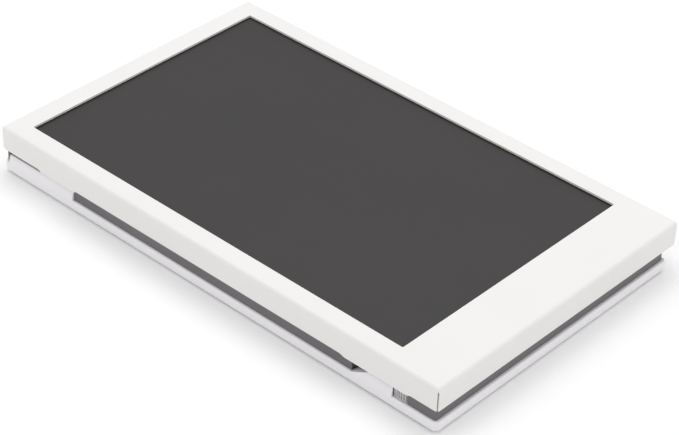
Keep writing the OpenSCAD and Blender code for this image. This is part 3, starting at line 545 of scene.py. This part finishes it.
def wheel_tree():
    """Ribs round a hub, between two smooth bands. One wheel stands on each point."""
    tree = Tree("jog wheel", {
        "Radius": "Float", "Height": "Float", "Ribs": "Int", "Rib width": "Float",
        "Rib depth": "Float", "Rim": "Float", "Material": "Material",
    })
    radius, rim = tree.input("Radius"), tree.input("Rim")
    rib_r = tree.math("MULTIPLY", tree.input("Rib width"), 0.5)
    hub_r = tree.math("SUBTRACT", radius, tree.input("Rib depth"))
    inner_h = tree.math("SUBTRACT", tree.input("Height"), tree.math("MULTIPLY", rim, 2.0))
    hub = tree.node("GeometryNodeMeshCylinder", Vertices=64, Radius=hub_r, Depth=inner_h)
    band = tree.node("GeometryNodeMeshCylinder", Vertices=96, Radius=radius, Depth=rim)
    rib = tree.node("GeometryNodeMeshCylinder", Vertices=12, Radius=rib_r, Depth=inner_h)
    ring = tree.node(
        "GeometryNodeMeshCircle", Vertices=tree.input("Ribs"),
        Radius=tree.math("SUBTRACT", radius, rib_r),
    )
    up = tree.math("MULTIPLY", tree.math("ADD", inner_h, rim), 0.5)
    down = tree.math("MULTIPLY", up, -1.0)
    wheel = tree.join(
        hub.outputs["Mesh"],
        tree.place(band.outputs["Mesh"], move=tree.vector(z=up)),
        tree.place(band.outputs["Mesh"], move=tree.vector(z=down)),
        tree.on_points(ring.outputs["Mesh"], rib.outputs["Mesh"]),
    )
    tree.finish(tree.on_points(tree.input("Geometry"), wheel))
    return tree


def copies_tree():
    """One copy of a template on each point."""
    tree = Tree("copies on points", {"Template": "Object", "Material": "Material"})
    template = tree.node("GeometryNodeObjectInfo", Object=tree.input("Template"))
    tree.finish(tree.on_points(tree.input("Geometry"), template.outputs["Geometry"]))
    return tree


# --------------------------------------------------------------------------------------------
# Shapes made point by point
# --------------------------------------------------------------------------------------------


def solid_boxes(node):
    """The lowest and highest corner of each separate solid in a packed node."""
    bm = bmesh.new()
    bm.from_mesh(NODES[node].data)
    bmesh.ops.remove_doubles(bm, verts=bm.verts, dist=0.002 * MM)
    left = set(bm.verts)
    boxes = []
    while left:
        stack = [left.pop()]
        points = []
        while stack:
            vert = stack.pop()
            points.append(vert.co.copy())
            for edge in vert.link_edges:
                other = edge.other_vert(vert)
                if other in left:
                    left.remove(other)
                    stack.append(other)
        lo = Vector([min(p[i] for p in points) for i in range(3)])
        hi = Vector([max(p[i] for p in points) for i in range(3)])
        boxes.append((lo, hi))
    bm.free()
    return sorted(boxes, key=lambda pair: tuple(pair[0]))


def lathe(name, profile, steps=40):
    """Turns a profile of (radius, height) pairs, which starts and ends on the axis."""
    bm = bmesh.new()
    rings = []
    for radius, height in profile:
        if radius == 0:
            rings.append([bm.verts.new((0, 0, height))] * steps)
            continue
        turns = [2 * math.pi * i / steps for i in range(steps)]
        rings.append([
            bm.verts.new((radius * math.cos(t), radius * math.sin(t), height)) for t in turns
        ])
    for ring, above in zip(rings, rings[1:]):
        for i in range(steps):
            j = (i + 1) % steps
            corners = [ring[i], ring[j], above[j], above[i]]
            bm.faces.new(list(dict.fromkeys(corners)))
    bmesh.ops.recalc_face_normals(bm, faces=bm.faces)
    return to_object(bm, name)


def quarter(centre, radius, start, steps=5):
    """Points of a quarter circle that starts at an angle in degrees and turns backwards."""
    turns = [math.radians(start - 90 * i / steps) for i in range(steps + 1)]
    return [(centre[0] + radius * math.cos(t), centre[1] + radius * math.sin(t)) for t in turns]


def cross_cut(template, width, depth, reach):
    """Cuts a cross recess into the low end of a template."""
    bm = bmesh.new()
    for turn in (0, math.pi / 2):
        made = bmesh.ops.create_cube(bm, size=1)["verts"]
        bmesh.ops.scale(bm, vec=(reach, width, 2 * depth), verts=made)
        bmesh.ops.rotate(bm, matrix=Matrix.Rotation(turn, 3, "Z"), verts=made)
    cutter = to_object(bm, "recess cutter")
    modifier = template.modifiers.new("recess", "BOOLEAN")
    modifier.object = cutter
    modifier.operation = "DIFFERENCE"
    modifier.use_self = True
    bake_modifiers(template)
    bpy.data.objects.remove(cutter)


def copy_to_points(template, name, points, slot):
    """Puts a copy of the template on every point, as one plain mesh."""
    bpy.context.view_layer.update()
    values = {"Template": template, "Material": finish_of(slot)}
    obj = copies_tree().run(name, points, values)
    bpy.data.objects.remove(template)
    return obj


def screw_template(size, sizes):
    """A screw that points up: head radius, head height, shank radius and whole length."""
    head_r, head_h, shank_r, whole = size
    round_r = head_h * 0.6
    profile = [(0, 0)]
    profile += [(r, z) for r, z in reversed(quarter((head_r - round_r, round_r), round_r, 0))]
    profile += [(head_r, head_h), (shank_r, head_h), (shank_r, whole - shank_r / 2)]
    profile += [(shank_r / 2, whole), (0, whole)]
    template = lathe("screw template", profile, 32)
    cross_cut(template, sizes.recess_width, sizes.recess, head_r * 1.15)
    return template


# --------------------------------------------------------------------------------------------
# The bezel
# --------------------------------------------------------------------------------------------


class BezelSide:
    """One side of the folded bezel, drawn with its outer face along +U and its inside at +V.

    The section is a closed loop of rows, from the window over the fold, down the flange and back
    inside. Columns run from the seam at one corner to the seam at the other.
    """

    def __init__(self, span, own_margin, margins, near_ends, tabs, sizes):
        self.span = span
        self.own_margin = own_margin
        self.margins = margins
        self.near_ends = near_ends
        self.tabs = tabs
        self.s = sizes
        self.top = BEZEL_HI.z
        self.skirt = self.top - sizes.flange

    def rows(self):
        """(inset, height or None for the flange's lower edge, corner radius, seam opening)"""
        s = self.s
        fold, top, sheet = s.fold, self.top, s.sheet
        rows = [("window", top, s.window_corner, 0), (fold + s.support, top, INNER_CORNER, 0)]
        for i in range(FOLD_RUN + 1):
            turn = math.pi / 2 * i / FOLD_RUN
            inset = fold * (1 - math.sin(turn))
            radius = max(INNER_CORNER, s.corner * math.sin(turn))
            rows.append((inset, top - fold * (1 - math.cos(turn)), radius, 0))
        rows.append((0, top - fold - s.seam_start, s.corner, 1))
        rows.append((0, None, s.corner, 1))
        rows.append((sheet, None, INNER_CORNER, 1))
        rows.append((sheet, top - fold - s.seam_start, INNER_CORNER, 1))
        for i in range(FOLD_RUN // 2 + 1):
            turn = math.pi / 2 * (1 - 2 * i / FOLD_RUN)
            inset = sheet + (fold - sheet) * (1 - math.sin(turn))
            rows.append((inset, top - fold + (fold - sheet) * math.cos(turn), INNER_CORNER, 0))
        rows.append(("window", top - sheet, s.window_corner, 0))
        return rows

    def lower_edge(self, along):
        """Height of the flange's lower edge at a place along the side."""
        level = self.skirt
        for start, stop in self.tabs:
            outside = max(start - along, along - stop, 0)
            share = max(0, 1 - outside / self.s.tab_ramp)
            level -= self.s.tab_drop * share * share * (3 - 2 * share)
        for gap, near in ((along, self.near_ends[0]), (self.span - along, self.near_ends[1])):
            radius = self.s.near_corner if near else self.s.flange_corner
            if gap < radius:
                level += radius - math.sqrt(radius * radius - (radius - gap) ** 2)
        return level

    def stations(self):
        """Places of the straight columns along the side."""
        s = self.s
        reach = s.flange_corner
        steps = [i / CORNER_RUN for i in range(1, CORNER_RUN + 1)]
        ends = [s.corner + (reach - s.corner) * share for share in steps]
        places = set(ends) | {self.span - e for e in ends}
        for start, stop in self.tabs:
            for i in range(TAB_RUN + 1):
                places.add(start - s.tab_ramp * i / TAB_RUN)
                places.add(stop + s.tab_ramp * i / TAB_RUN)
        return sorted(p for p in places if s.corner < p < self.span - s.corner)

    def corner_point(self, row, share, end):
        """A point on a corner's arc, share 0 at the seam and 1 where the straight begins."""
        inset, _, radius, opening = row
        own = self.own_margin if inset == "window" else inset
        other = self.margins[end] if inset == "window" else inset
        turn = (math.pi / 4 - opening * self.s.seam_angle) * (1 - share)
        u = other + radius - radius * math.sin(turn)
        v = own + radius - radius * math.cos(turn)
        return (u if end == 0 else self.span - u), v

    def build(self, bm, place):
        """Adds the side's faces. Place maps (along, inward, height) to a point."""
        rows = self.rows()
        shares = [i / CORNER_RUN for i in range(CORNER_RUN + 1)]
        columns = [("corner", 0, share) for share in shares]
        columns += [("straight", p, None) for p in self.stations()]
        columns += [("corner", 1, share) for share in reversed(shares)]
        grid = []
        for kind, where, share in columns:
            column = []
            for row in rows:
                if kind == "corner":
                    u, v = self.corner_point(row, share, where)
                else:
                    u = where
                    v = self.own_margin if row[0] == "window" else row[0]
                    if row[0] != "window":
                        arc_end = row[0] + row[2]
                        u = min(max(u, arc_end), self.span - arc_end)
                if row[0] == "window" and kind == "straight":
                    low = self.margins[0] + self.s.window_corner
                    high = self.span - self.margins[1] - self.s.window_corner
                    u = low + (high - low) * (u - self.s.corner) / (self.span - 2 * self.s.corner)
                z = self.lower_edge(u) if row[1] is None else row[1]
                column.append(bm.verts.new(place(u, v, z)))
            grid.append(column)
        count = len(rows)
        for left, right in zip(grid, grid[1:]):
            for i in range(count):
                j = (i + 1) % count
                bm.faces.new([left[i], left[j], right[j], right[i]])
        fold_end = FOLD_RUN + 2  # row where the fold ends and the open seam begins
        inner_start = fold_end + 3
        for column in (grid[0], grid[-1]):
            bm.faces.new([column[i] for i in (fold_end, fold_end + 1, inner_start + 1, inner_start + 2)])
            bm.faces.new([column[i] for i in (fold_end + 1, fold_end + 2, inner_start, inner_start + 1)])


class PHOTO_FRAME_OT_bezel(bpy.types.Operator):
    """Folded sheet bezel with open corner seams and two hanging tabs"""

    bl_idname = "photo_frame.bezel"
    bl_label = "Bezel"

    def execute(self, context):
        s = context.scene.bezel_sizes
        length_x = BEZEL_HI.x - BEZEL_LO.x
        length_y = BEZEL_HI.y - BEZEL_LO.y
        wheel_end = WHEEL_AXIS.x + s.chin_tab_past_wheel - BEZEL_LO.x
        tabs = [
            (s.end_tab_start, s.end_tab_start + s.end_tab_length),
            (wheel_end - s.chin_tab_length, wheel_end),
        ]
        long_margins = (s.end_margin, s.chin_margin)
        ends = (s.side_margin, s.side_margin)
        bm = bmesh.new()
        wheel_side = BezelSide(length_x, s.side_margin, long_margins, (False, True), tabs, s)
        wheel_side.build(bm, lambda u, v, z: (BEZEL_LO.x + u, BEZEL_LO.y + v, z))
        port_side = BezelSide(length_x, s.side_margin, long_margins, (False, False), [], s)
        port_side.build(bm, lambda u, v, z: (BEZEL_LO.x + u, BEZEL_HI.y - v, z))
        plain_end = BezelSide(length_y, s.end_margin, ends, (False, False), [], s)
        plain_end.build(bm, lambda u, v, z: (BEZEL_LO.x + v, BEZEL_LO.y + u, z))
        chin_end = BezelSide(length_y, s.chin_margin, ends, (True, False), [], s)
        chin_end.build(bm, lambda u, v, z: (BEZEL_HI.x - v, BEZEL_LO.y + u, z))
        bmesh.ops.remove_doubles(bm, verts=bm.verts, dist=0.004 * MM)
        bmesh.ops.recalc_face_normals(bm, faces=bm.faces)
        obj = to_object(bm, "folded_bezel")
        soften(obj, s.edge, 50, 2)
        finish_piece(obj, "housing", "bezel_white", finish_of("bezel_white"), "bezel")
        return {"FINISHED"}


# --------------------------------------------------------------------------------------------
# Mouldings, controls and hardware
# --------------------------------------------------------------------------------------------


class PHOTO_FRAME_OT_mouldings(bpy.types.Operator):
    """Back cover and mid frame, with softened edges"""

    bl_idname = "photo_frame.mouldings"
    bl_label = "Back cover and mid frame"

    def execute(self, context):
        soft = context.scene.soft_sizes
        cover = solid_copy("back_cover", "rear_cover")
        soften(cover, soft.cover_edge, CREASE)
        finish_piece(cover, "housing", "cover_white", finish_of("cover_white"), "back_cover")
        core = solid_copy("mid_frame", "core_frame")
        soften(core, soft.core_edge, CREASE)
        finish_piece(core, "housing", "core_dark", finish_of("core_dark"), "mid_frame")
        return {"FINISHED"}


class PHOTO_FRAME_OT_screen(bpy.types.Operator):
    """Matt screen glass with softened edges"""

    bl_idname = "photo_frame.screen"
    bl_label = "Screen"

    def execute(self, context):
        glass = solid_copy("cover_glass", "screen_panel")
        soften(glass, context.scene.soft_sizes.plate_edge, CREASE)
        finish_piece(glass, "housing", "screen_glass", finish_of("screen_glass"), "cover_glass")
        return {"FINISHED"}


class PHOTO_FRAME_OT_stand(bpy.types.Operator):
    """Fold-out stand leg with its rubber tip"""

    bl_idname = "photo_frame.stand"
    bl_label = "Stand leg"

    def execute(self, context):
        leg = solid_copy("stand_leg", "stand_leg_shell")
        soften(leg, context.scene.soft_sizes.leg_edge, CREASE)
        finish_piece(leg, "leg", "cover_white", finish_of("cover_white"), "stand_leg")
        tip = solid_copy("leg_pad", "leg_tip")
        soften(tip, context.scene.soft_sizes.leg_edge, CREASE)
        finish_piece(tip, "leg", "rubber_dark", finish_of("rubber_dark"), "leg_pad")
        return {"FINISHED"}


class PHOTO_FRAME_OT_wheel(bpy.types.Operator):
    """Ribbed jog wheel"""

    bl_idname = "photo_frame.wheel"
    bl_label = "Jog wheel"

    def execute(self, context):
        s = context.scene.wheel_sizes
        values = {
            "Radius": (WHEEL_HI.x - WHEEL_LO.x) / 2, "Height": WHEEL_HI.z - WHEEL_LO.z,
            "Ribs": s.ribs, "Rib width": s.rib_width, "Rib depth": s.rib_depth, "Rim": s.rim,
            "Material": finish_of("wheel_grey"),
        }
        obj = wheel_tree().run("ribbed_wheel", [WHEEL_AXIS], values)
        shade(obj)
        finish_piece(obj, "wheel", "wheel_grey", finish_of("wheel_grey"), "jog_wheel")
        return {"FINISHED"}


class PHOTO_FRAME_OT_controls(bpy.types.Operator):
    """Power button, sockets and hanger plates, with softened edges"""

    bl_idname = "photo_frame.controls"
    bl_label = "Button, sockets and hangers"

    def execute(self, context):
        soft = context.scene.soft_sizes
        button = solid_copy("power_button", "power_button_cap")
        soften(button, soft.button_edge, CREASE)
        finish_piece(button, "button", "button_dark", finish_of("button_dark"), "power_button")
        for node in ("card_socket", "power_socket", "hanger_plates"):
            obj = solid_copy(node, node + "_shell")
            soften(obj, soft.plate_edge, CREASE, 1)
            finish_piece(obj, "housing", SLOT_OF[node], finish_of(SLOT_OF[node]), node)
        return {"FINISHED"}


class PHOTO_FRAME_OT_screws(bpy.types.Operator):
    """Cross recess screws that hold the back cover"""

    bl_idname = "photo_frame.screws"
    bl_label = "Screws"

    def execute(self, context):
        s = context.scene.screw_sizes
        boxes = solid_boxes("cover_screws")
        lo, hi = boxes[0]
        size = ((hi.x - lo.x) / 2, s.head, s.shank, hi.z - lo.z)
        points = [((a.x + b.x) / 2, (a.y + b.y) / 2, a.z) for a, b in boxes]
        template = screw_template(size, s)
        obj = copy_to_points(template, "cover_screw_set", points, "steel_dark")
        shade(obj)
        finish_piece(obj, "housing", "steel_dark", finish_of("steel_dark"), "cover_screws")
        return {"FINISHED"}


class PHOTO_FRAME_OT_feet(bpy.types.Operator):
    """Dished rubber feet"""

    bl_idname = "photo_frame.feet"
    bl_label = "Feet"

    def execute(self, context):
        s = context.scene.foot_sizes
        boxes = solid_boxes("rubber_feet")
        lo, hi = boxes[0]
        radius, height = (hi.x - lo.x) / 2, hi.z - lo.z
        inner = radius * 0.7
        profile = [(0, s.dish), (inner - s.dish, s.dish), (inner, 0)]
        profile += list(reversed(quarter((radius - s.round, s.round), s.round, 0)))
        profile += [(radius, height), (0, height)]
        template = lathe("foot template", profile)
        points = [((a.x + b.x) / 2, (a.y + b.y) / 2, a.z) for a, b in boxes]
        obj = copy_to_points(template, "foot_set", points, "rubber_dark")
        shade(obj)
        finish_piece(obj, "housing", "rubber_dark", finish_of("rubber_dark"), "rubber_feet")
        return {"FINISHED"}


class PHOTO_FRAME_OT_inner_parts(bpy.types.Operator):
    """Finishes of the packed solids that stay as they are"""

    bl_idname = "photo_frame.inner_parts"
    bl_label = "Inner parts"

    def execute(self, context):
        for node, slot in SLOT_OF.items():
            if not NODES[node].hide_render:
                paint_node(node, finish_of(slot))
        return {"FINISHED"}


# --------------------------------------------------------------------------------------------
# Stage
# --------------------------------------------------------------------------------------------


def aim_matrix(eye, target, roll=0.0):
    """A camera or light at eye that looks at target, turned by roll about its axis."""
    ahead = (target - eye).normalized()
    right = ahead.cross(Vector((0, 0, 1))).normalized()
    up = right.cross(ahead)
    turned = right * math.cos(roll) + up * math.sin(roll)
    up = turned.cross(ahead)
    rotation = Matrix((turned, up, -ahead)).transposed()
    return Matrix.Translation(eye) @ rotation.to_4x4()


def soft_light(name, eye, target, size, power):
    """A square area light."""
    data = bpy.data.lights.new(name, "AREA")
    data.shape = "SQUARE"
    data.size = size
    data.energy = power
    obj = bpy.data.objects.new(name, data)
    bpy.context.scene.collection.objects.link(obj)
    obj.matrix_world = aim_matrix(Vector(eye), Vector(target))
    return obj


class PHOTO_FRAME_OT_stage(bpy.types.Operator):
    """Plain pale floor, soft studio light and the camera"""

    bl_idname = "photo_frame.stage"
    bl_label = "Stage"

    def execute(self, context):
        scene = context.scene
        self.make_floor(scene)
        self.make_lights(scene)
        self.make_camera(scene)
        scene.view_settings.view_transform = "Standard"
        return {"FINISHED"}

    def make_floor(self, scene):
        bm = bmesh.new()
        bmesh.ops.create_grid(bm, x_segments=1, y_segments=1, size=6)
        floor = to_object(bm, "floor")
        surface = Surface("pale floor", scene.finish_colours.floor, 0.9, specular=0.1)
        surface.vary_colour(0.4, 0.004)
        floor.data.materials.append(surface.material)

    def make_lights(self, scene):
        world = bpy.data.worlds.new("studio")
        world.use_nodes = True
        world.node_tree.nodes["Background"].inputs["Color"].default_value = (1, 1, 1, 1)
        world.node_tree.nodes["Background"].inputs["Strength"].default_value = WORLD_LIGHT
        scene.world = world
        for name, (eye, size, power) in LIGHTS.items():
            soft_light(name, eye, (0, 0, 0), size, power)

    def make_camera(self, scene):
        s = scene.stage_sizes
        data = bpy.data.cameras.new("camera")
        data.sensor_width = 36
        data.sensor_fit = "HORIZONTAL"
        data.lens = s.lens
        data.clip_start = 0.05
        target = Vector(s.aim)
        back = Vector((
            math.sin(s.azimuth) * math.cos(s.elevation),
            -math.cos(s.azimuth) * math.cos(s.elevation),
            math.sin(s.elevation),
        ))
        camera = bpy.data.objects.new("camera", data)
        scene.collection.objects.link(camera)
        camera.matrix_world = aim_matrix(target + back * s.distance, target, s.roll)
        scene.camera = camera


# --------------------------------------------------------------------------------------------
# Panel and running
# --------------------------------------------------------------------------------------------

SETTINGS = {
    "bezel_sizes": BezelSizes,
    "soft_sizes": SoftSizes,
    "wheel_sizes": WheelSizes,
    "screw_sizes": ScrewSizes,
    "foot_sizes": FootSizes,
    "finish_colours": FinishColours,
    "stage_sizes": StageSizes,
}
STEPS = (
    PHOTO_FRAME_OT_bezel,
    PHOTO_FRAME_OT_mouldings,
    PHOTO_FRAME_OT_screen,
    PHOTO_FRAME_OT_stand,
    PHOTO_FRAME_OT_wheel,
    PHOTO_FRAME_OT_controls,
    PHOTO_FRAME_OT_screws,
    PHOTO_FRAME_OT_feet,
    PHOTO_FRAME_OT_inner_parts,
    PHOTO_FRAME_OT_stage,
)


class PHOTO_FRAME_PT_steps(bpy.types.Panel):
    """Lists the sizes, the colours and the building steps"""

    bl_idname = "PHOTO_FRAME_PT_steps"
    bl_label = "Photo Frame"
    bl_space_type = "VIEW_3D"
    bl_region_type = "UI"
    bl_category = "Photo Frame"

    def draw(self, context):
        for step in STEPS:
            self.layout.operator(step.bl_idname)
        for name, group in SETTINGS.items():
            box = self.layout.box()
            box.label(text=group.__doc__)
            for key in group.__annotations__:
                box.prop(getattr(context.scene, name), key)


def register():
    for group in SETTINGS.values():
        bpy.utils.register_class(group)
    for name, group in SETTINGS.items():
        setattr(bpy.types.Scene, name, bpy.props.PointerProperty(type=group))
    for made in (*STEPS, PHOTO_FRAME_PT_steps):
        bpy.utils.register_class(made)


def unregister():
    for made in (PHOTO_FRAME_PT_steps, *reversed(STEPS)):
        bpy.utils.unregister_class(made)
    for name, group in SETTINGS.items():
        delattr(bpy.types.Scene, name)
        bpy.utils.unregister_class(group)


def main():
    register()
    for step in STEPS:
        group, action = step.bl_idname.split(".")
        getattr(getattr(bpy.ops, group), action)()


if __name__ == "__main__":
    main()
